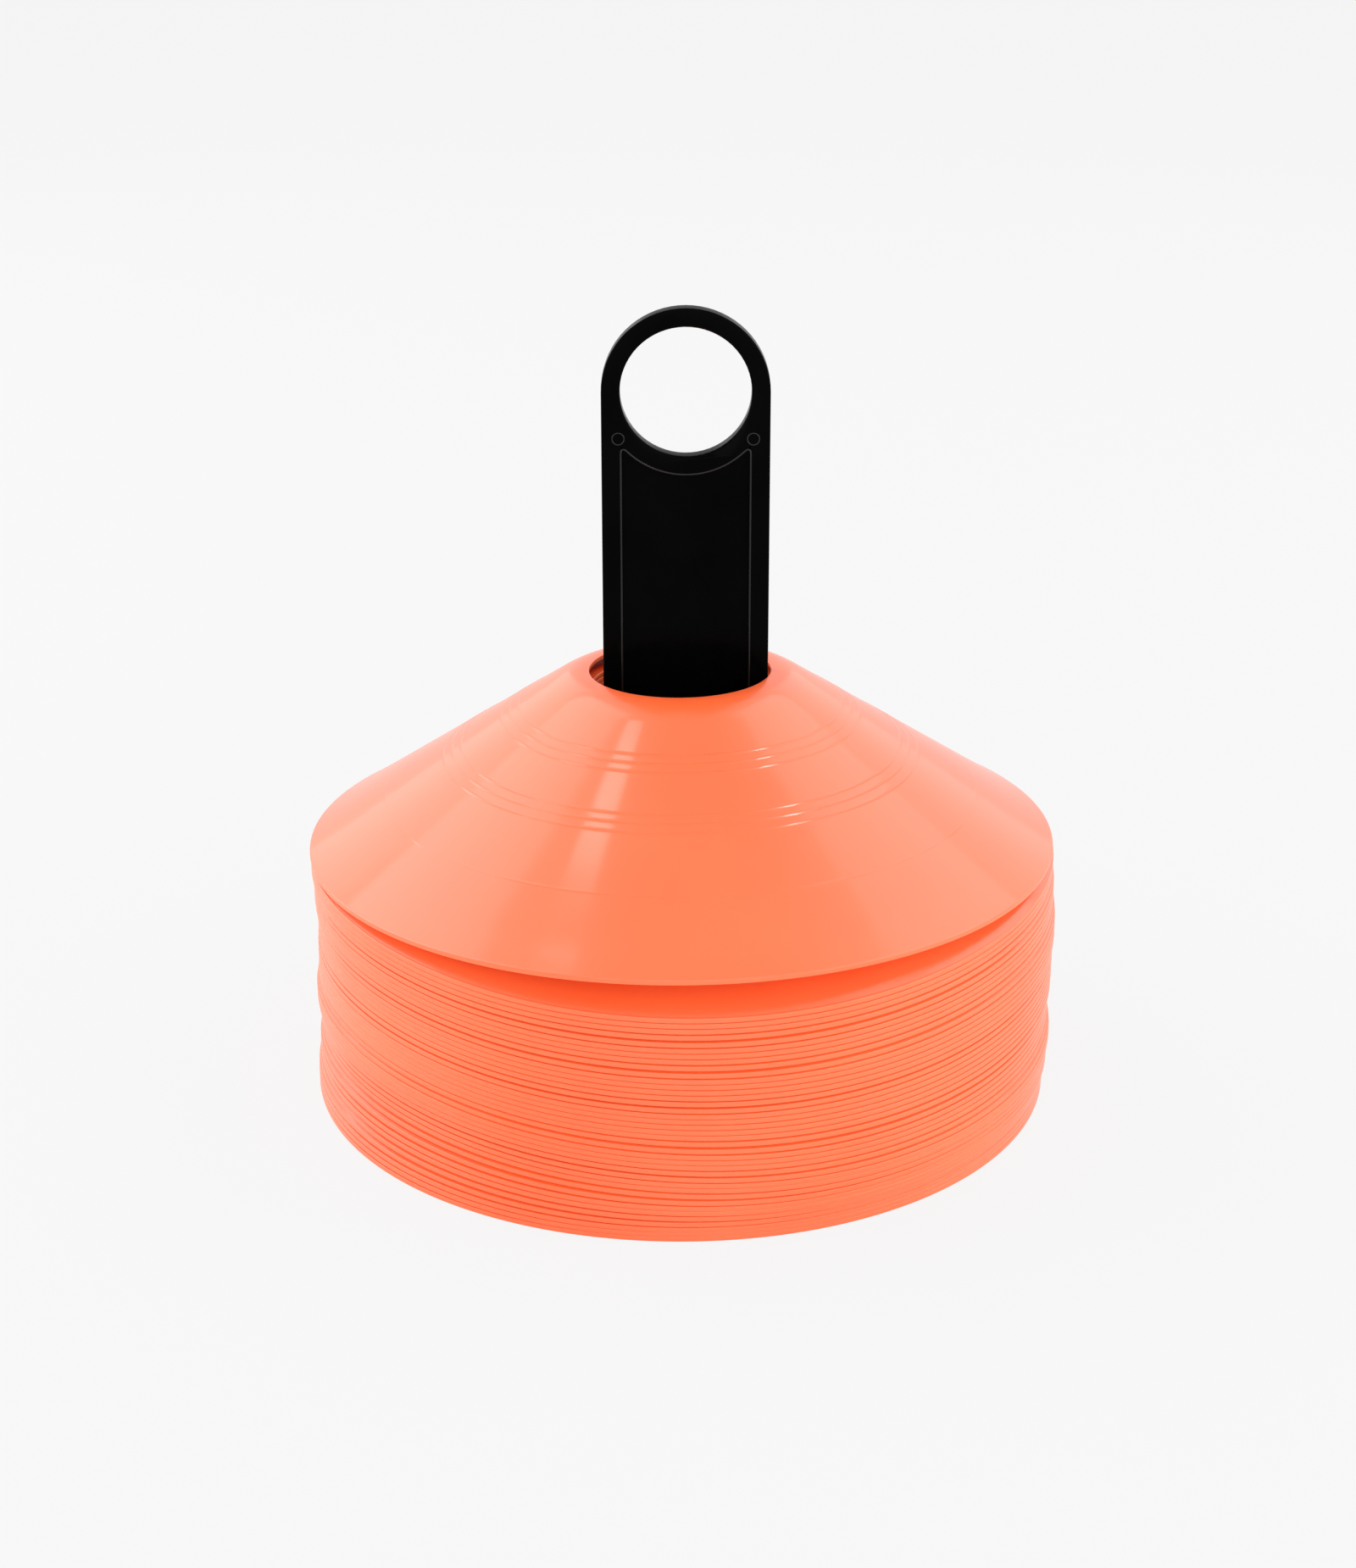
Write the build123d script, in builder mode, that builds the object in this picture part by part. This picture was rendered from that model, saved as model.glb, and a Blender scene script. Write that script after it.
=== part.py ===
"""Stack of nested sports marker discs on a two-piece plastic carrier with a ring handle.

Millimetres, +Z up, standing on z = 0. The photograph's front looks along +Y.
"""

import os
from math import atan2, cos, hypot, radians, sin, tan

from build123d import *

os.makedirs("parts", exist_ok=True)

# marker disc
DISC_DIAMETER = 200.0
DISC_HEIGHT = 50.0
HOLE_DIAMETER = 53.0
DISC_WALL = 0.95

# how the discs lie: groups from the floor up, each (discs, shift in X, shift in Y)
NEST_CLEARANCE = 0.29
GROUP_GAP = 0.9
GROUPS = [
    (4, -0.8, 0.2),
    (4, 0.0, -0.2),
    (4, 0.6, 0.1),
    (5, -0.2, -0.2),
    (7, 0.5, 0.2),
    (6, 0.8, -0.1),
    (5, 0.2, 0.2),
    (4, -0.3, 0.0),
]

# the top disc lies askew on the stack, its front and right side raised
TOP_FRONT_UP = 1.6
TOP_RIGHT_UP = 0.4
TOP_SHIFT = (-0.6, 0.2)

# carrier upright with its ring handle
UPRIGHT_HEIGHT = 213.0
UPRIGHT_PLAY = 4.75
UPRIGHT_THICKNESS = 4.5
UPRIGHT_X = 0.6
RING_BAND = 4.85
BORDER_WIDTH = 5.0
WEB_THICKNESS = 2.0
PANEL_CORNER = 2.0
PANEL_ABOVE_SOCKET = 10.0
EDGE_ROUND = 0.5

# carrier foot, inside the lowest disc
FIN_THICKNESS = 4.5
FIN_INSET = 15.0
FIN_PAD = 16.0
ARCH_HEIGHT = 3.5
SHOULDER_MARGIN = 5.0
SOCKET_WALL = 2.5
SOCKET_FLOOR = 3.0
SOCKET_CLEARANCE = 0.2
SEAT_CLEARANCE = 0.3

disc_radius = DISC_DIAMETER / 2
hole_radius = HOLE_DIAMETER / 2
slope = atan2(DISC_HEIGHT, disc_radius - hole_radius)
inner_rim_radius = disc_radius - DISC_WALL / sin(slope)
nest_pitch = (DISC_WALL + NEST_CLEARANCE) / cos(slope)

# marker discs


def make_disc(label: str, seat: Plane) -> None:
    """Turns one thin cone about the seat plane's normal and writes it to its own file.

    Args:
        label: Name of the disc's node.
        seat: Plane of the disc's rim, with its origin on the disc's axis.
    """
    profile = Plane(origin=seat.origin, x_dir=seat.x_dir, z_dir=-seat.y_dir)
    with BuildPart() as disc:
        with BuildSketch(profile):
            with BuildLine():
                Polyline(
                    (inner_rim_radius, 0),
                    (disc_radius, 0),
                    (hole_radius, DISC_HEIGHT),
                    (hole_radius, DISC_HEIGHT - DISC_WALL / cos(slope)),
                    close=True,
                )
            make_face()
        revolve(axis=Axis(seat.origin, seat.z_dir))
    disc.part.label = label
    export_step(disc.part, f"parts/{label}.step")


number = 0
rim_height = 0.0
for count, shift_x, shift_y in GROUPS:
    for place in range(count):
        number += 1
        make_disc(f"disc_{number:02d}", Plane(origin=(shift_x, shift_y, rim_height)))
        rim_height += nest_pitch
    rim_height += GROUP_GAP
top_fall = disc_radius * sin(radians(hypot(TOP_FRONT_UP, TOP_RIGHT_UP)))
top_height = rim_height - GROUP_GAP + top_fall
top_seat = Plane(origin=(*TOP_SHIFT, top_height)).rotated((-TOP_FRONT_UP, -TOP_RIGHT_UP, 0))
make_disc(f"disc_{number + 1:02d}", top_seat)

# carrier: values shared by the upright and the foot

low_shift_x, low_shift_y = GROUPS[0][1:]
carrier_shift = abs(UPRIGHT_X - low_shift_x)
upright_plane = Plane(origin=(UPRIGHT_X, low_shift_y, 0), x_dir=(1, 0, 0), z_dir=(0, -1, 0))
cross_plane = Plane(origin=upright_plane.origin, x_dir=(0, 1, 0), z_dir=(1, 0, 0))
floor_plane = Plane(origin=upright_plane.origin)

upright_width = HOLE_DIAMETER - 2 * UPRIGHT_PLAY
socket_width = upright_width + 2 * SOCKET_CLEARANCE
socket_depth = UPRIGHT_THICKNESS + 2 * SOCKET_CLEARANCE
sleeve_width = socket_width + 2 * SOCKET_WALL
sleeve_depth = socket_depth + 2 * SOCKET_WALL
shoulder_radius = hypot(sleeve_width, sleeve_depth) / 2 + SHOULDER_MARGIN
fin_reach = inner_rim_radius - carrier_shift - FIN_INSET
upright_bottom = ARCH_HEIGHT + SOCKET_FLOOR


def fin_edge(radius: float) -> float:
    """Height of a fin's sloping top edge, just under the lowest disc.

    Args:
        radius: Distance from the carrier's axis.

    Returns:
        Height above the floor.
    """
    under_disc = (inner_rim_radius - carrier_shift - radius) * tan(slope)
    return under_disc - SEAT_CLEARANCE / cos(slope)


socket_top = fin_edge(shoulder_radius)

# upright: flat bar with a ring handle, a raised border and a thinner web

ring_radius = upright_width / 2
ring_height = UPRIGHT_HEIGHT - ring_radius
panel_bottom = socket_top + PANEL_ABOVE_SOCKET
with BuildPart() as upright:
    with BuildSketch(upright_plane):
        with Locations((0, ring_height)):
            Circle(ring_radius)
        with Locations((0, (upright_bottom + ring_height) / 2)):
            Rectangle(upright_width, ring_height - upright_bottom)
        with Locations((0, ring_height)):
            Circle(ring_radius - RING_BAND, mode=Mode.SUBTRACT)
    extrude(amount=UPRIGHT_THICKNESS / 2, both=True)
    fillet(upright.edges().filter_by(GeomType.CIRCLE), EDGE_ROUND)
    for side in (1, -1):
        with BuildSketch(upright_plane.offset(side * UPRIGHT_THICKNESS / 2)) as panel:
            with Locations((0, (panel_bottom + ring_height) / 2)):
                Rectangle(upright_width - 2 * BORDER_WIDTH, ring_height - panel_bottom)
            with Locations((0, ring_height)):
                Circle(ring_radius, mode=Mode.SUBTRACT)
            fillet(panel.vertices().group_by(Axis.Y)[0], PANEL_CORNER)
        extrude(amount=-side * (UPRIGHT_THICKNESS - WEB_THICKNESS) / 2, mode=Mode.SUBTRACT)
upright.part.label = "carrier_upright"
export_step(upright.part, "parts/carrier_upright.step")

# cross foot: four fins under the lowest disc, round a socket for the upright

with BuildPart() as foot:
    for plane in (upright_plane, cross_plane):
        with BuildSketch(plane):
            with BuildLine():
                Polyline(
                    (-fin_reach, 0),
                    (fin_reach, 0),
                    (fin_reach, fin_edge(fin_reach)),
                    (shoulder_radius, socket_top),
                    (-shoulder_radius, socket_top),
                    (-fin_reach, fin_edge(fin_reach)),
                    close=True,
                )
            make_face()
            Rectangle(2 * (fin_reach - FIN_PAD), 2 * ARCH_HEIGHT, mode=Mode.SUBTRACT)
        extrude(amount=FIN_THICKNESS / 2, both=True)
    with BuildSketch(floor_plane.offset(ARCH_HEIGHT)):
        Rectangle(sleeve_width, sleeve_depth)
    extrude(amount=socket_top - ARCH_HEIGHT)
    with BuildSketch(floor_plane.offset(upright_bottom)):
        Rectangle(socket_width, socket_depth)
    extrude(amount=socket_top - upright_bottom, mode=Mode.SUBTRACT)
foot.part.label = "carrier_cross_foot"
export_step(foot.part, "parts/carrier_cross_foot.step")
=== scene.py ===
"""Looks of a pile of coral marker cones on a black carrier with a ring handle.

Lengths are in metres, apart from the sizes of the cones and the carrier, which are in millimetres.
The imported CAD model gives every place: each cone is modelled again as a bent, thin, ridged shell on
its own sliding body, and the carrier keeps its CAD outline with rounded edges.
"""

import logging
import math
from abc import ABC, abstractmethod
from dataclasses import dataclass
from enum import Enum

import bmesh
import bpy
import numpy as np
from mathutils import Matrix, Vector


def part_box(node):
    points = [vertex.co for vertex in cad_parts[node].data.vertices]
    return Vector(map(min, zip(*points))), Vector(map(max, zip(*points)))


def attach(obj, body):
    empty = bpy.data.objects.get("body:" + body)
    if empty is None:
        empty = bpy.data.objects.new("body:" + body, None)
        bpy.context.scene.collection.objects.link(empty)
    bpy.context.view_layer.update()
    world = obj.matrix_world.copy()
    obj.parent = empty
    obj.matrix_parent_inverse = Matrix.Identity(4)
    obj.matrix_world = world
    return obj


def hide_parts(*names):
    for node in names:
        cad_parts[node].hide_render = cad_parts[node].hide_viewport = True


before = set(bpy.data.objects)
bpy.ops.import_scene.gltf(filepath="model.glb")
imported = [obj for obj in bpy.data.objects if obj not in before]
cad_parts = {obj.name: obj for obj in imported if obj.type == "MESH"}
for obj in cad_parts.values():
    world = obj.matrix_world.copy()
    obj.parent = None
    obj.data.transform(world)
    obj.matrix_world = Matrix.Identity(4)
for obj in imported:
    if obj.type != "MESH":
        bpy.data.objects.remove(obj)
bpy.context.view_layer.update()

LOG = logging.getLogger("marker_cones")
MM = 0.001
PLASTIC_IOR = 1.5
WATTS_PER_RADIANCE = 4.0

Colour = tuple[float, float, float]
Pair = tuple[float, float]


class Slot(Enum):
    """Material slots that the record names."""

    DISC = "disc"
    CARRIER = "carrier"


class NodeKind(Enum):
    """Shader nodes that the finishes and the studio use."""

    COORDS = "ShaderNodeTexCoord"
    NOISE = "ShaderNodeTexNoise"
    BUMP = "ShaderNodeBump"
    MIX = "ShaderNodeMix"
    RANGE = "ShaderNodeMapRange"
    LIGHT_PATH = "ShaderNodeLightPath"
    MATH = "ShaderNodeMath"
    BACKGROUND = "ShaderNodeBackground"
    EMISSION = "ShaderNodeEmission"
    MIX_SHADER = "ShaderNodeMixShader"


@dataclass
class ShaderTree:
    """A material's node tree, with short ways to add and join nodes."""

    material: bpy.types.Material

    @property
    def nodes(self) -> bpy.types.Nodes:
        """All nodes of the tree."""
        return self.material.node_tree.nodes

    @property
    def principled(self) -> bpy.types.Node:
        """The surface shader."""
        return self.nodes["Principled BSDF"]

    def add(self, kind: NodeKind, **inputs: object) -> bpy.types.Node:
        """Adds a node and sets inputs by name.

        Args:
            kind: Which node to add.
            inputs: Values of its sockets, with underscores for spaces.

        Returns:
            The new node.
        """
        node = self.nodes.new(kind.value)
        for name, value in inputs.items():
            node.inputs[name.replace("_", " ")].default_value = value
        return node

    def join(self, source: bpy.types.NodeSocket, target: bpy.types.NodeSocket) -> None:
        """Links one socket to another."""
        self.material.node_tree.links.new(source, target)

    def noise(self, scale: float, detail: float = 3.0, rough: float = 0.5) -> bpy.types.NodeSocket:
        """Adds noise on object coordinates.

        Args:
            scale: Cells a metre.
            detail: Octaves.
            rough: Share of the finer octaves.

        Returns:
            The noise value's socket.
        """
        coords = self.add(NodeKind.COORDS)
        noise = self.add(NodeKind.NOISE, Scale=scale, Detail=detail, Roughness=rough)
        self.join(coords.outputs["Object"], noise.inputs["Vector"])
        return noise.outputs["Fac"]

    def spread(
        self, source: bpy.types.NodeSocket, low: float, high: float, start: float = 0.3, end: float = 0.7
    ) -> bpy.types.NodeSocket:
        """Maps a value to a range.

        Args:
            source: Socket to map.
            low: Result at start.
            high: Result at end.
            start: Lowest source value.
            end: Highest source value.

        Returns:
            The mapped value's socket.
        """
        node = self.add(NodeKind.RANGE, From_Min=start, From_Max=end, To_Min=low, To_Max=high)
        self.join(source, node.inputs["Value"])
        return node.outputs["Result"]

    def blend(self, amount: bpy.types.NodeSocket, first: Colour, second: Colour) -> bpy.types.NodeSocket:
        """Mixes two colours.

        Args:
            amount: Share of the second colour.
            first: First colour, linear RGB.
            second: Second colour, linear RGB.

        Returns:
            The mixed colour's socket.
        """
        mix = self.nodes.new(NodeKind.MIX.value)
        mix.data_type = "RGBA"
        mix.inputs["A"].default_value = (*first, 1.0)
        mix.inputs["B"].default_value = (*second, 1.0)
        self.join(amount, mix.inputs["Factor"])
        return mix.outputs["Result"]


@dataclass(frozen=True)
class Plastic(ABC):
    """A moulded plastic with a clouded colour and roughness and a fine relief.

    Colours are linear RGB, the noises are in cells a metre and the relief's depth is in metres.
    """

    name: str
    body: Colour
    pale: Colour
    roughness: Pair
    cloud_per_metre: float
    cloud_detail: float
    cloud_rough: float
    relief_per_metre: float
    relief_detail: float
    relief_depth: float
    relief_strength: float

    @abstractmethod
    def surface(self) -> dict[str, object]:
        """Values of the surface shader's sockets that only this plastic sets, by the sockets' names."""

    def material(self) -> bpy.types.Material:
        """Makes the material.

        Returns:
            The finished material.
        """
        made = bpy.data.materials.new(self.name)
        made.use_nodes = True
        tree = ShaderTree(made)
        shader = tree.principled
        clouds = tree.noise(self.cloud_per_metre, self.cloud_detail, self.cloud_rough)
        colour = tree.blend(tree.spread(clouds, 0.0, 1.0), self.body, self.pale)
        tree.join(colour, shader.inputs["Base Color"])
        tree.join(tree.spread(clouds, *self.roughness), shader.inputs["Roughness"])
        relief = tree.add(NodeKind.BUMP, Strength=self.relief_strength, Distance=self.relief_depth)
        tree.join(tree.noise(self.relief_per_metre, self.relief_detail), relief.inputs["Height"])
        tree.join(relief.outputs["Normal"], shader.inputs["Normal"])
        shader.inputs["IOR"].default_value = PLASTIC_IOR
        for socket, value in self.surface().items():
            shader.inputs[socket].default_value = value
        return made


@dataclass(frozen=True)
class CoralPlastic(Plastic):
    """Flexible, slightly milky polyethylene of the cones, with a fine moulded grain and a smooth skin."""

    name: str = "coral_polyethylene"
    body: Colour = (0.98, 0.125, 0.030)
    pale: Colour = (0.99, 0.145, 0.040)
    roughness: Pair = (0.30, 0.38)
    cloud_per_metre: float = 18.0
    cloud_detail: float = 4.0
    cloud_rough: float = 0.5
    relief_per_metre: float = 2600.0
    relief_detail: float = 2.0
    relief_depth: float = 0.00002
    relief_strength: float = 0.25
    skin: float = 0.4
    skin_roughness: float = 0.1
    milkiness: float = 0.1
    light_reach: tuple[float, float, float] = (0.005, 0.0014, 0.0006)

    def surface(self) -> dict[str, object]:
        """Light that seeps through the wall, and the skin."""
        return {
            "Subsurface Weight": self.milkiness,
            "Subsurface Radius": self.light_reach,
            "Subsurface Scale": 1.0,
            "Coat Weight": self.skin,
            "Coat Roughness": self.skin_roughness,
        }


@dataclass(frozen=True)
class BlackPlastic(Plastic):
    """Near-black moulded plastic of the carrier, faintly clouded, with slow moulding ripples."""

    name: str = "black_carrier_plastic"
    body: Colour = (0.0006, 0.0006, 0.0007)
    pale: Colour = (0.0014, 0.0014, 0.0015)
    roughness: Pair = (0.14, 0.24)
    cloud_per_metre: float = 45.0
    cloud_detail: float = 6.0
    cloud_rough: float = 0.6
    relief_per_metre: float = 110.0
    relief_detail: float = 3.0
    relief_depth: float = 0.00004
    relief_strength: float = 0.3
    gloss: float = 0.018

    def surface(self) -> dict[str, object]:
        """How strongly the black mirrors."""
        return {"Specular IOR Level": self.gloss}


def closed_grid_mesh(name: str, points: np.ndarray, edge: np.ndarray | None = None) -> bpy.types.Mesh:
    """Makes a smooth mesh from a grid that closes on itself both ways, like a torus.

    Args:
        name: Name of the mesh.
        points: Array of turns by profile by 3, in metres.
        edge: For each step of the profile, whether it is a trimmed edge, which takes the second material.

    Returns:
        The new mesh.
    """
    turns, steps = points.shape[:2]
    index = np.arange(turns * steps).reshape(turns, steps)
    ahead = np.roll(index, -1, axis=0)
    corners = [index, ahead, np.roll(ahead, -1, axis=1), np.roll(index, -1, axis=1)]
    quads = np.stack(corners, axis=-1).reshape(-1, 4)
    mesh = bpy.data.meshes.new(name)
    mesh.vertices.add(turns * steps)
    mesh.vertices.foreach_set("co", points.reshape(-1).astype(np.float32))
    mesh.loops.add(quads.size)
    mesh.loops.foreach_set("vertex_index", quads.reshape(-1).astype(np.int32))
    mesh.polygons.add(len(quads))
    mesh.polygons.foreach_set("loop_start", np.arange(0, quads.size, 4, dtype=np.int32))
    if edge is not None:
        mesh.polygons.foreach_set("material_index", np.tile(edge, turns).astype(np.int32))
    mesh.update(calc_edges=True)
    mesh.shade_smooth()
    return mesh


def put_in_scene(name: str, mesh: bpy.types.Mesh, *materials: bpy.types.Material) -> bpy.types.Object:
    """Makes an object of a mesh at the origin.

    Args:
        name: Name of the object.
        mesh: Its mesh, with its place in its points.
        materials: Its finishes, in the order of its slots.

    Returns:
        The linked object.
    """
    piece = bpy.data.objects.new(name, mesh)
    for material in materials:
        mesh.materials.append(material)
    bpy.context.scene.collection.objects.link(piece)
    return piece


@dataclass
class ConePile:
    """The pile of marker cones, each a thin shell bent as soft plastic settles.

    Sizes are in millimetres and angles in degrees here. Inside the crown's radius the wall rounds over to the
    hole, and the crown's drop is how much lower the hole lies than a straight wall would put it. The waves
    are in radians a millimetre of height.
    """

    finish: CoralPlastic = CoralPlastic()
    edge_finish: CoralPlastic = CoralPlastic(
        name="coral_trimmed_edge",
        body=(0.98, 0.132, 0.034),
        pale=(0.99, 0.155, 0.046),
        skin=0.35,
        skin_roughness=0.28,
    )
    rim_radius: float = 99.9
    hole_radius: float = 24.1
    wall: float = 1.12
    wall_slope: float = 33.3
    edge_bulge: float = 0.25
    edge_power: float = 4.0
    crown_radius: float = 34.0
    crown_drop: float = 3.1
    crease_radius: float = 91.5
    crease_drop: float = 0.2
    ridge_sets: tuple[tuple[float, ...], ...] = ((43.2, 45.5, 47.8), (58.7, 61.0, 63.4), (79.2,))
    ridge_heights: tuple[float, ...] = (0.106, 0.106, 0.04)
    ridge_half_width: float = 0.4
    ridge_samples: tuple[float, ...] = (-1.4, -1.0, -0.75, -0.25, 0.0, 0.25, 0.75, 1.0, 1.4)
    turns: int = 180
    face_steps: int = 16
    crown_steps: int = 9
    back_steps: int = 7
    edge_steps: int = 13
    top_lean: Pair = (1.6, 0.4)
    bend: float = 3.0
    bend_rise: float = 15.5
    low_turn: float = 22.0
    high_turn: float = 6.0
    high_rim: float = 63.0
    slump: float = 2.2
    slump_height: float = 20.0
    slump_spread: float = 11.0
    slump_start: float = 8.0
    stray: float = 0.05
    stray_waves: Pair = (12.9, 7.7)
    flutter: float = 0.02
    flutter_waves: Pair = (8.3, 3.1)

    def names(self) -> list[str]:
        """Cone nodes from the floor up."""
        return sorted(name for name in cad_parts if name.startswith("disc_"))

    def ridges(self, radius: np.ndarray) -> np.ndarray:
        """Height of the moulded rings on the outer face: a low tent for each, straight down to both sides.

        Args:
            radius: Distances from the cone's axis.

        Returns:
            Heights above the plain face.
        """
        total = np.zeros_like(radius)
        for group, height in zip(self.ridge_sets, self.ridge_heights):
            away = np.abs(np.subtract.outer(radius, np.array(group))) / self.ridge_half_width
            total += height * np.clip(1 - away, 0, 1).sum(axis=1)
        return total

    def ends(self) -> np.ndarray:
        """Radii at which the faces end, at the hole and at the rim, short of the cut edges' bulge."""
        return np.array([self.hole_radius + self.edge_bulge, self.rim_radius - self.edge_bulge])

    def middle(self, radius: np.ndarray) -> tuple[np.ndarray, np.ndarray]:
        """Middle of the wall, and how thick the wall is upright.

        The middle is two straight lines that meet at the crease, less a parabola inside the crown's radius.
        Upright, half the wall is its half thickness over the cosine of the slope.

        Args:
            radius: Distances from the cone's axis.

        Returns:
            Heights of the middle, and half the upright thickness.
        """
        inner, outer = self.ends()
        half = self.wall / 2
        steep = math.tan(math.radians(self.wall_slope))
        crease = self.crease_drop * np.interp(radius, (inner, self.crease_radius, outer), (0, 1, 0))
        crown = self.crown_radius - inner
        bent = np.clip(self.crown_radius - radius, 0, None) / crown
        foot = half * math.hypot(1, steep)
        height = foot + (outer - radius) * steep - crease - self.crown_drop * bent**2
        return height, half * np.hypot(1, steep - 2 * self.crown_drop * bent / crown)

    def profile(self) -> tuple[np.ndarray, np.ndarray, np.ndarray]:
        """Closed section of one cone: up the outer face, round the hole, down the inner face, round the rim.

        The faces lie half a wall above and below the middle. At the hole and the rim the wall is cut upright,
        and a flat oval of the fourth power joins the faces.

        Returns:
            Radii, heights, and for each step to the next point whether it goes round an edge.
        """
        ends = self.ends()
        offsets = np.array(self.ridge_samples) * self.ridge_half_width
        rings = np.add.outer(np.concatenate(self.ridge_sets), offsets).ravel()
        close = ends + self.edge_bulge * np.array([1, -1])
        crown = np.linspace(ends[0], self.crown_radius, self.crown_steps)
        even = np.linspace(*ends, self.face_steps)
        face = np.unique(np.concatenate([even, crown, rings, close, [self.crease_radius]]))[::-1]
        slope = np.linspace(self.crown_radius, self.crease_radius, self.back_steps)
        back = np.unique(np.concatenate([crown, slope, close, ends]))
        climb = np.sin(np.linspace(-np.pi / 2, np.pi / 2, self.edge_steps)[1:-1])
        bulge = self.edge_bulge * (1 - np.abs(climb) ** self.edge_power) ** (1 / self.edge_power)
        face_middle, face_half = self.middle(face)
        back_middle, back_half = self.middle(back)
        end_middle, end_half = self.middle(ends)
        parts_r = [face, ends[0] - bulge, back, ends[1] + bulge]
        parts_h = [
            face_middle + face_half + self.ridges(face),
            end_middle[0] - end_half[0] * climb,
            back_middle - back_half,
            end_middle[1] + end_half[1] * climb,
        ]
        round_edge = np.repeat([False, True, False, True], [len(part) for part in parts_r])
        return np.concatenate(parts_r), np.concatenate(parts_h), round_edge | np.roll(round_edge, -1)

    def settle(self, angle: np.ndarray, rim: float) -> np.ndarray:
        """How far a cone's rim lies above or below its flat place.

        The rim dips in front and behind and rises at the sides as a double cosine, more so higher in the
        pile, and the lower third also slumps to the right as a single sine. Two small sines of the height
        make the rims lie unevenly.

        Args:
            angle: Turns about the axis, 0 at the front and positive to the right, in radians.
            rim: Height of the flat rim above the floor.

        Returns:
            Rise of the rim at each angle.
        """
        share = 1 - math.exp(-rim / self.bend_rise)
        turn = math.radians(self.low_turn + (self.high_turn - self.low_turn) * min(rim / self.high_rim, 1.0))
        near = math.exp(-(((rim - self.slump_height) / self.slump_spread) ** 2))
        lean = self.slump * near * min(rim / self.slump_start, 1.0)
        level_wave, turning_wave = (wave * rim for wave in self.flutter_waves)
        uneven = self.flutter * min(rim, 1.0) * (math.sin(level_wave) + np.sin(2 * angle + turning_wave))
        return -self.bend * share * np.cos(2 * (angle - turn)) - lean * np.sin(angle) + uneven

    def places(self) -> np.ndarray:
        """Axes and feet of the cones from the floor up: the CAD places, eased by a running mean of three.

        The mean shares out the gaps between groups. The lowest cone and the two on top keep their places.

        Returns:
            Array of cones by x, y and the height of the foot.
        """
        boxes = np.array([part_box(node) for node in self.names()]) / MM
        exact = np.column_stack([boxes.mean(axis=1)[:, :2], boxes[:, 0, 2]])
        eased = exact.copy()
        eased[1:-2] = (exact[:-3] + 2 * exact[1:-2] + exact[2:-1]) / 4
        return eased

    def surface(self, place: np.ndarray, top: bool) -> tuple[np.ndarray, np.ndarray]:
        """Turns the section about the cone's axis, bends it and puts it in its place.

        A point keeps its radius; its height gains the settled rise times the square of its share of the rim's
        radius. Each cone also strays a little sideways, by a sine and a cosine of its height. The cone on top
        isn't bent: it leans, by one turn about y and one about x.

        Args:
            place: The cone's axis, x and y, and the height of its foot.
            top: Whether it is the flat, leaning cone on top.

        Returns:
            Points in metres, and the steps of the section that go round an edge.
        """
        foot = place[2]
        radii, heights, edge = self.profile()
        angle = np.linspace(0, 2 * np.pi, self.turns, endpoint=False)
        x = np.outer(np.sin(angle), radii)
        y = np.outer(-np.cos(angle), radii)
        z = np.tile(heights, (self.turns, 1))
        if top:
            front, right = (math.radians(value) for value in self.top_lean)
            fall = self.rim_radius * math.sin(math.hypot(front, right))
            x, z = x * math.cos(right) - z * math.sin(right), z * math.cos(right) + x * math.sin(right)
            y, z = y * math.cos(front) + z * math.sin(front), z * math.cos(front) - y * math.sin(front)
            z = z + foot + fall
        else:
            z = z + foot + np.outer(self.settle(angle, foot), (radii / self.rim_radius) ** 2)
            x = x + self.stray * math.sin(self.stray_waves[0] * foot)
            y = y + self.stray * math.cos(self.stray_waves[1] * foot)
        return np.stack([x + place[0], y + place[1], z], axis=-1) * MM, edge

    def build(self) -> None:
        """Makes every cone, rides it on its own body and reports it."""
        finish, edge_finish = self.finish.material(), self.edge_finish.material()
        names = self.names()
        for node, place in zip(names, self.places()):
            points, edge = self.surface(place, node == names[-1])
            mesh = closed_grid_mesh(f"{node}_shell", points, edge)
            piece = put_in_scene(f"{node}_shell", mesh, finish, edge_finish)
            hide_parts(node)
            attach(piece, node)
            LOG.info("%s: %d faces", piece.name, len(mesh.polygons))


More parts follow.
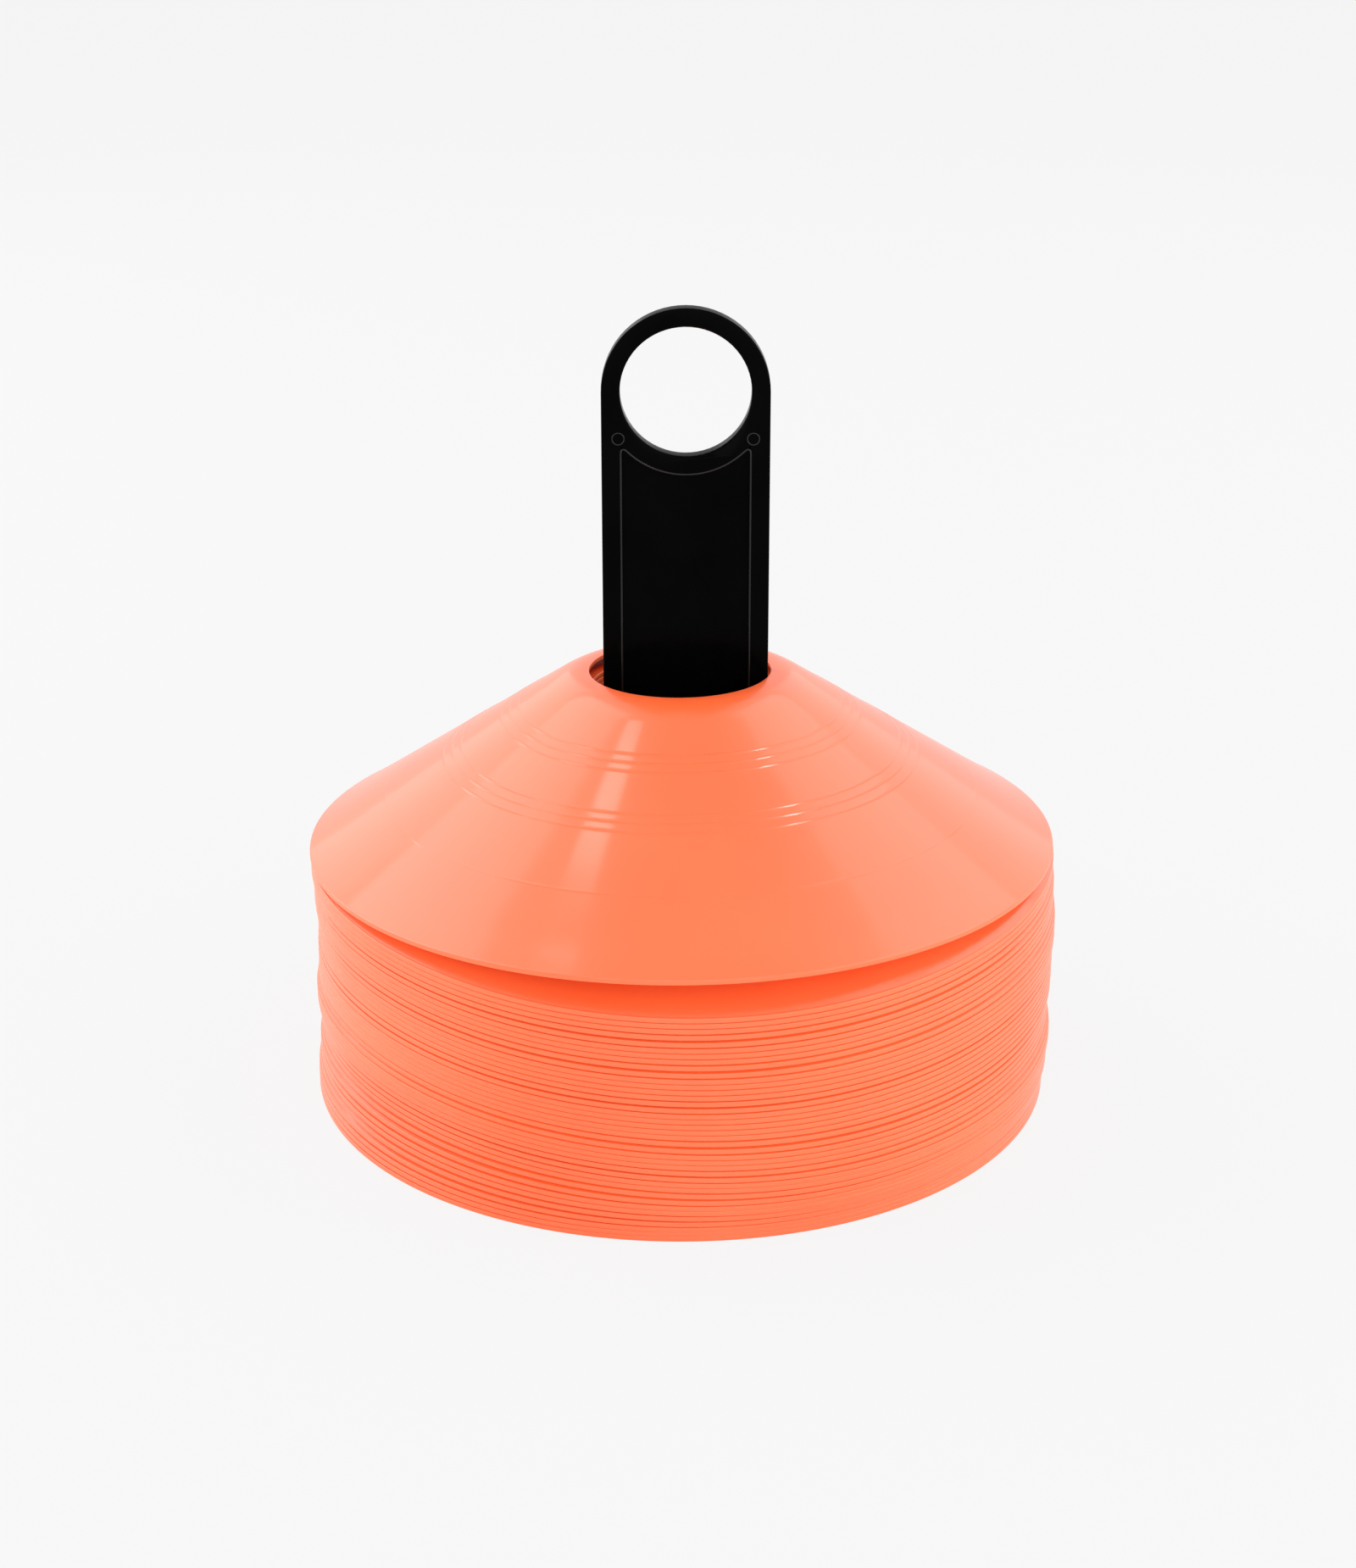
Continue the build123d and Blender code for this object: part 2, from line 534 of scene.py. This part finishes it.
@dataclass
class Carrier:
    """The black carrier: the upright with its ring handle, its ejector marks, and the cross foot.

    Sizes are in millimetres and angles in degrees.
    """

    finish: BlackPlastic = BlackPlastic()
    # The edges' colour is painted paler than the black, as a highlight along the rounded edges, the panel
    # beads and the ejector marks; their stronger gloss is their own.
    edge_finish: BlackPlastic = BlackPlastic(
        name="black_carrier_edges_painted_highlight",
        body=(0.006, 0.006, 0.006),
        pale=(0.010, 0.010, 0.010),
        roughness=(0.20, 0.32),
        gloss=0.25,
    )
    upright: str = "carrier_upright"
    foot: str = "carrier_cross_foot"
    body: str = "carrier"
    edge_slot: int = 1
    edge_round: float = 0.6
    round_steps: int = 3
    weld: float = 0.001
    flat_angle: float = 0.5
    sharp_angle: float = 40.0
    mark_reach: float = 17.4
    mark_height: float = 179.0
    mark_radius: float = 1.55
    mark_lip: float = 0.15
    mark_rise: float = 0.09
    mark_skirt: float = 0.195
    mark_sunk: float = 0.1
    mark_turns: int = 40
    lip_steps: int = 9
    border: float = 5.0
    panel_bottom: float = 55.2
    arc_steps: int = 41
    bead_radius: float = 0.26
    bead_sunk: float = 0.12
    bead_step: float = 0.5
    bead_rounding: int = 5
    bead_sides: int = 12

    def softened(self, node: str, finish: bpy.types.Material, edges: bpy.types.Material) -> None:
        """Stands a copy of a CAD piece in its place, its triangles joined and its edges rounded and painted
        paler as a highlight.

        Args:
            node: CAD node to copy.
            finish: Material of the faces.
            edges: Material of the rounded edges, painted paler than the black as a highlight.
        """
        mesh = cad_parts[node].data.copy()
        mesh.materials.clear()
        shape = bmesh.new()
        shape.from_mesh(mesh)
        bmesh.ops.remove_doubles(shape, verts=shape.verts, dist=self.weld * MM)
        flat = math.radians(self.flat_angle)
        bmesh.ops.dissolve_limit(shape, angle_limit=flat, verts=shape.verts, edges=shape.edges)
        shape.to_mesh(mesh)
        shape.free()
        piece = put_in_scene(f"{node}_softened", mesh, finish, edges)
        rounding = piece.modifiers.new("rounded_edges", "BEVEL")
        rounding.width = self.edge_round * MM
        rounding.segments = self.round_steps
        rounding.limit_method = "ANGLE"
        rounding.angle_limit = math.radians(self.sharp_angle)
        rounding.material = self.edge_slot
        rounding.harden_normals = True
        mesh.shade_smooth()
        self.keep(piece, node)

    def ejector_mark(self, side: int, finish: bpy.types.Material) -> None:
        """Makes one ring that an ejector pin leaves: a fine half-round lip turned about the pin's axis.

        The lip is half an oval, as wide as the lip and as high as its rise, on a skirt sunk into the face.

        Args:
            side: -1 on the left, 1 on the right.
            finish: Material of the mark, painted paler than the black as a highlight.
        """
        low, high = (np.array(corner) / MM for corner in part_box(self.upright))
        swing = np.linspace(0, np.pi, self.lip_steps)
        away = np.concatenate([self.mark_lip * np.cos(swing), [-self.mark_skirt, self.mark_skirt]])
        proud = np.concatenate([self.mark_rise * np.sin(swing), [-self.mark_sunk, -self.mark_sunk]])
        angle = np.linspace(0, 2 * np.pi, self.mark_turns, endpoint=False)
        x = (low[0] + high[0]) / 2 + side * self.mark_reach + np.outer(np.cos(angle), self.mark_radius + away)
        z = self.mark_height + np.outer(np.sin(angle), self.mark_radius + away)
        y = np.tile(low[1] - proud, (self.mark_turns, 1))
        points = np.stack([x, y, z], axis=-1) * MM
        name = f"ejector_mark_{'left' if side < 0 else 'right'}"
        self.keep(put_in_scene(name, closed_grid_mesh(name, points), finish))

    def panel_bead(self, side: int, finish: bpy.types.Material) -> None:
        """Makes the rounded inner edge of the border round one recessed panel.

        The line goes up both sides of the panel and along the ring's outer circle between them. It is sampled
        at even steps and rounded at its corners by a running mean, and a small circle is swept along it.

        Args:
            side: -1 on the front face, 1 on the back.
            finish: Material of the edge, painted paler than the black as a highlight.
        """
        low, high = (np.array(corner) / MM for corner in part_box(self.upright))
        middle, ring = (low[0] + high[0]) / 2, (high[0] - low[0]) / 2
        reach = ring - self.border
        turn = np.linspace(-1, 1, self.arc_steps) * math.asin(reach / ring)
        arc = np.stack([ring * np.sin(turn), high[2] - ring - ring * np.cos(turn)], axis=1)
        left, right = ([[way * reach, self.panel_bottom]] for way in (-1, 1))
        corners = np.concatenate([left, arc, right, left])
        along = np.concatenate([[0], np.cumsum(np.hypot(*np.diff(corners, axis=0).T))])
        steps = np.arange(0, along[-1], self.bead_step)
        line = np.stack([np.interp(steps, along, corners[:, axis]) for axis in (0, 1)], axis=1)
        shifts = range(-self.bead_rounding, self.bead_rounding + 1)
        line = np.mean([np.roll(line, shift, axis=0) for shift in shifts], axis=0)
        ahead = np.roll(line, -1, axis=0) - np.roll(line, 1, axis=0)
        across = np.stack([ahead[:, 1], -ahead[:, 0]], axis=1) / np.hypot(*ahead.T)[:, None]
        swing = np.linspace(0, 2 * np.pi, self.bead_sides, endpoint=False) * -side
        flat = line[:, None, :] + self.bead_radius * np.cos(swing)[None, :, None] * across[:, None, :]
        face = (low[1] if side < 0 else high[1]) - side * self.bead_sunk
        depth = np.tile(face + self.bead_radius * np.sin(swing), (len(line), 1))
        points = np.stack([flat[..., 0] + middle, depth, flat[..., 1]], axis=-1) * MM
        name = f"panel_edge_{'front' if side < 0 else 'back'}"
        self.keep(put_in_scene(name, closed_grid_mesh(name, points), finish))

    def keep(self, piece: bpy.types.Object, node: str | None = None) -> None:
        """Rides a piece on the carrier's body and hides the CAD node that it stands for.

        Args:
            piece: Piece of the carrier.
            node: CAD node that it replaces, if any.
        """
        if node:
            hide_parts(node)
        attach(piece, self.body)
        LOG.info("%s: %d faces", piece.name, len(piece.data.polygons))

    def build(self) -> None:
        """Makes both mouldings and the marks on the upright's front."""
        finish = self.finish.material()
        edges = self.edge_finish.material()
        for node in (self.upright, self.foot):
            self.softened(node, finish, edges)
        for side in (-1, 1):
            self.ejector_mark(side, edges)
            self.panel_bead(side, edges)


@dataclass(frozen=True)
class SoftBox:
    """One soft box that faces the pile."""

    name: str
    place: tuple[float, float, float]
    along: tuple[float, float, float]
    size: Pair
    radiance: float

    def hang(self, aim: Vector) -> None:
        """Hangs the box so that it faces a point, with its second side along its own long direction.

        Args:
            aim: Point that the box faces.
        """
        data = bpy.data.lights.new(self.name, "AREA")
        data.shape = "RECTANGLE"
        data.size, data.size_y = self.size
        data.energy = WATTS_PER_RADIANCE * self.size[0] * self.size[1] * self.radiance
        away = (Vector(self.place) - aim).normalized()
        side = Vector(self.along).cross(away).normalized()
        lamp = bpy.data.objects.new(self.name, data)
        lamp.rotation_euler = Matrix((side, away.cross(side), away)).transposed().to_euler()
        lamp.location = self.place
        bpy.context.scene.collection.objects.link(lamp)


@dataclass
class Studio:
    """Pale floor, soft lights and the photograph's camera."""

    image_size: tuple[int, int] = (1600, 1850)
    camera_distance: float = 0.831
    camera_elevation: float = 21.75
    aim_height: float = 0.0829
    focal_pixels: float = 3648.0
    axis_pixel: float = 806.4
    sensor: float = 36.0
    backdrop: float = 0.92
    floor_colour: float = 0.86
    floor_shine: float = 0.95
    floor_roughness: float = 0.8
    floor_half: float = 4.0
    ambient: float = 0.71
    boxes: tuple[SoftBox, ...] = (
        SoftBox("left_panel", (-0.69, 0.58, 1.02), (0.0, 0.79, -0.62), (0.6, 0.75), 1.65),
        SoftBox("left_rear_panel", (-0.59, 1.08, 0.51), (0.0, 0.37, -0.93), (0.6, 0.6), 0.7),
        SoftBox("right_panel", (0.69, 0.58, 1.02), (0.0, 0.79, -0.62), (0.6, 0.75), 1.25),
        SoftBox("right_rear_panel", (0.59, 1.08, 0.51), (0.0, 0.37, -0.93), (0.6, 0.6), 0.5),
        SoftBox("streak_box", (-0.430, 0.162, 1.333), (-0.52, -0.85, -0.08), (0.155, 0.11), 6.6),
        SoftBox("left_lamp", (-0.84, 0.105, 1.105), (-0.49, 0.73, -0.47), (0.06, 0.28), 6.0),
        SoftBox("right_lamp", (0.712, -0.054, 1.203), (0.66, 0.66, -0.37), (0.075, 0.137), 30.0),
        SoftBox("front_fill", (0.13, -1.24, 0.30), (0.0, 0.0, 1.0), (1.7, 0.58), 1.12),
        SoftBox("left_fill", (-1.25, 0.16, 0.42), (0.0, 0.0, 1.0), (1.6, 0.82), 2.8),
        SoftBox("right_fill", (1.18, -0.40, 0.46), (0.0, 0.0, 1.0), (1.4, 0.9), 2.1),
    )

    def camera(self) -> None:
        """Sets the camera level with the photograph's: on the pile's front, looking down at its middle."""
        data = bpy.data.cameras.new("photo_camera")
        data.sensor_width = self.sensor
        data.lens = self.focal_pixels / max(self.image_size) * self.sensor
        data.shift_x = (self.image_size[0] / 2 - self.axis_pixel) / max(self.image_size)
        camera = bpy.data.objects.new("photo_camera", data)
        tilt = math.radians(self.camera_elevation)
        reach = Vector((0, -math.cos(tilt), math.sin(tilt))) * self.camera_distance
        camera.location = Vector((0, 0, self.aim_height)) + reach
        camera.rotation_euler = (math.radians(90) - tilt, 0, 0)
        bpy.context.scene.collection.objects.link(camera)
        bpy.context.scene.camera = camera

    def shown_rays(self, tree: bpy.types.NodeTree) -> bpy.types.NodeSocket:
        """Adds nodes that tell the rays that show the backdrop from those that carry light.

        The shown rays come from the camera, or from it by a reflection or through a clear wall.

        Args:
            tree: Node tree of the world or of a stage material.

        Returns:
            Socket that is 1 for the shown rays.
        """
        path = tree.nodes.new(NodeKind.LIGHT_PATH.value)
        shown = path.outputs["Is Camera Ray"]
        for kind in ("Is Glossy Ray", "Is Transmission Ray"):
            either = tree.nodes.new(NodeKind.MATH.value)
            either.operation = "MAXIMUM"
            tree.links.new(shown, either.inputs[0])
            tree.links.new(path.outputs[kind], either.inputs[1])
            shown = either.outputs[0]
        return shown

    def world(self) -> None:
        """Lights the scene evenly, and shows the pale backdrop to the camera and in reflections."""
        world = bpy.data.worlds.new("pale_room")
        bpy.context.scene.world = world
        world.use_nodes = True
        nodes, links = world.node_tree.nodes, world.node_tree.links
        seen = nodes["Background"]
        seen.inputs["Color"].default_value = (self.backdrop,) * 3 + (1.0,)
        lit = nodes.new(NodeKind.BACKGROUND.value)
        lit.inputs["Color"].default_value = (1.0, 1.0, 1.0, 1.0)
        lit.inputs["Strength"].default_value = self.ambient
        shown = self.shown_rays(world.node_tree)
        mix = nodes.new(NodeKind.MIX_SHADER.value)
        links.new(shown, mix.inputs["Fac"])
        links.new(lit.outputs[0], mix.inputs[1])
        links.new(seen.outputs[0], mix.inputs[2])
        links.new(mix.outputs[0], nodes["World Output"].inputs["Surface"])

    def floor(self) -> None:
        """Lays the pale floor, which mostly shines by itself for the camera and keeps a faint shadow."""
        half = self.floor_half
        mesh = bpy.data.meshes.new("floor")
        corners = [(-half, -half, 0), (half, -half, 0), (half, half, 0), (-half, half, 0)]
        mesh.from_pydata(corners, [], [(0, 1, 2, 3)])
        made = bpy.data.materials.new("pale_floor")
        made.use_nodes = True
        nodes, links = made.node_tree.nodes, made.node_tree.links
        shader = nodes["Principled BSDF"]
        shader.inputs["Base Color"].default_value = (self.floor_colour,) * 3 + (1.0,)
        shader.inputs["Roughness"].default_value = self.floor_roughness
        shine = nodes.new(NodeKind.EMISSION.value)
        shine.inputs["Color"].default_value = (self.backdrop,) * 3 + (1.0,)
        share = nodes.new(NodeKind.MATH.value)
        share.operation = "MULTIPLY"
        share.inputs[1].default_value = self.floor_shine
        mix = nodes.new(NodeKind.MIX_SHADER.value)
        links.new(self.shown_rays(made.node_tree), share.inputs[0])
        links.new(share.outputs[0], mix.inputs["Fac"])
        links.new(shader.outputs[0], mix.inputs[1])
        links.new(shine.outputs[0], mix.inputs[2])
        links.new(mix.outputs[0], nodes["Material Output"].inputs["Surface"])
        floor = put_in_scene("floor", mesh, made)

    def build(self) -> None:
        """Builds the whole studio."""
        self.camera()
        self.world()
        self.floor()
        for box in self.boxes:
            box.hang(Vector((0, 0, self.aim_height)))
        bpy.context.scene.view_settings.view_transform = "Standard"


def main() -> None:
    """Builds the object and its studio, and reports each piece."""
    logging.basicConfig(level=logging.INFO)
    ConePile().build()
    Carrier().build()
    Studio().build()


if __name__ == "__main__":
    main()
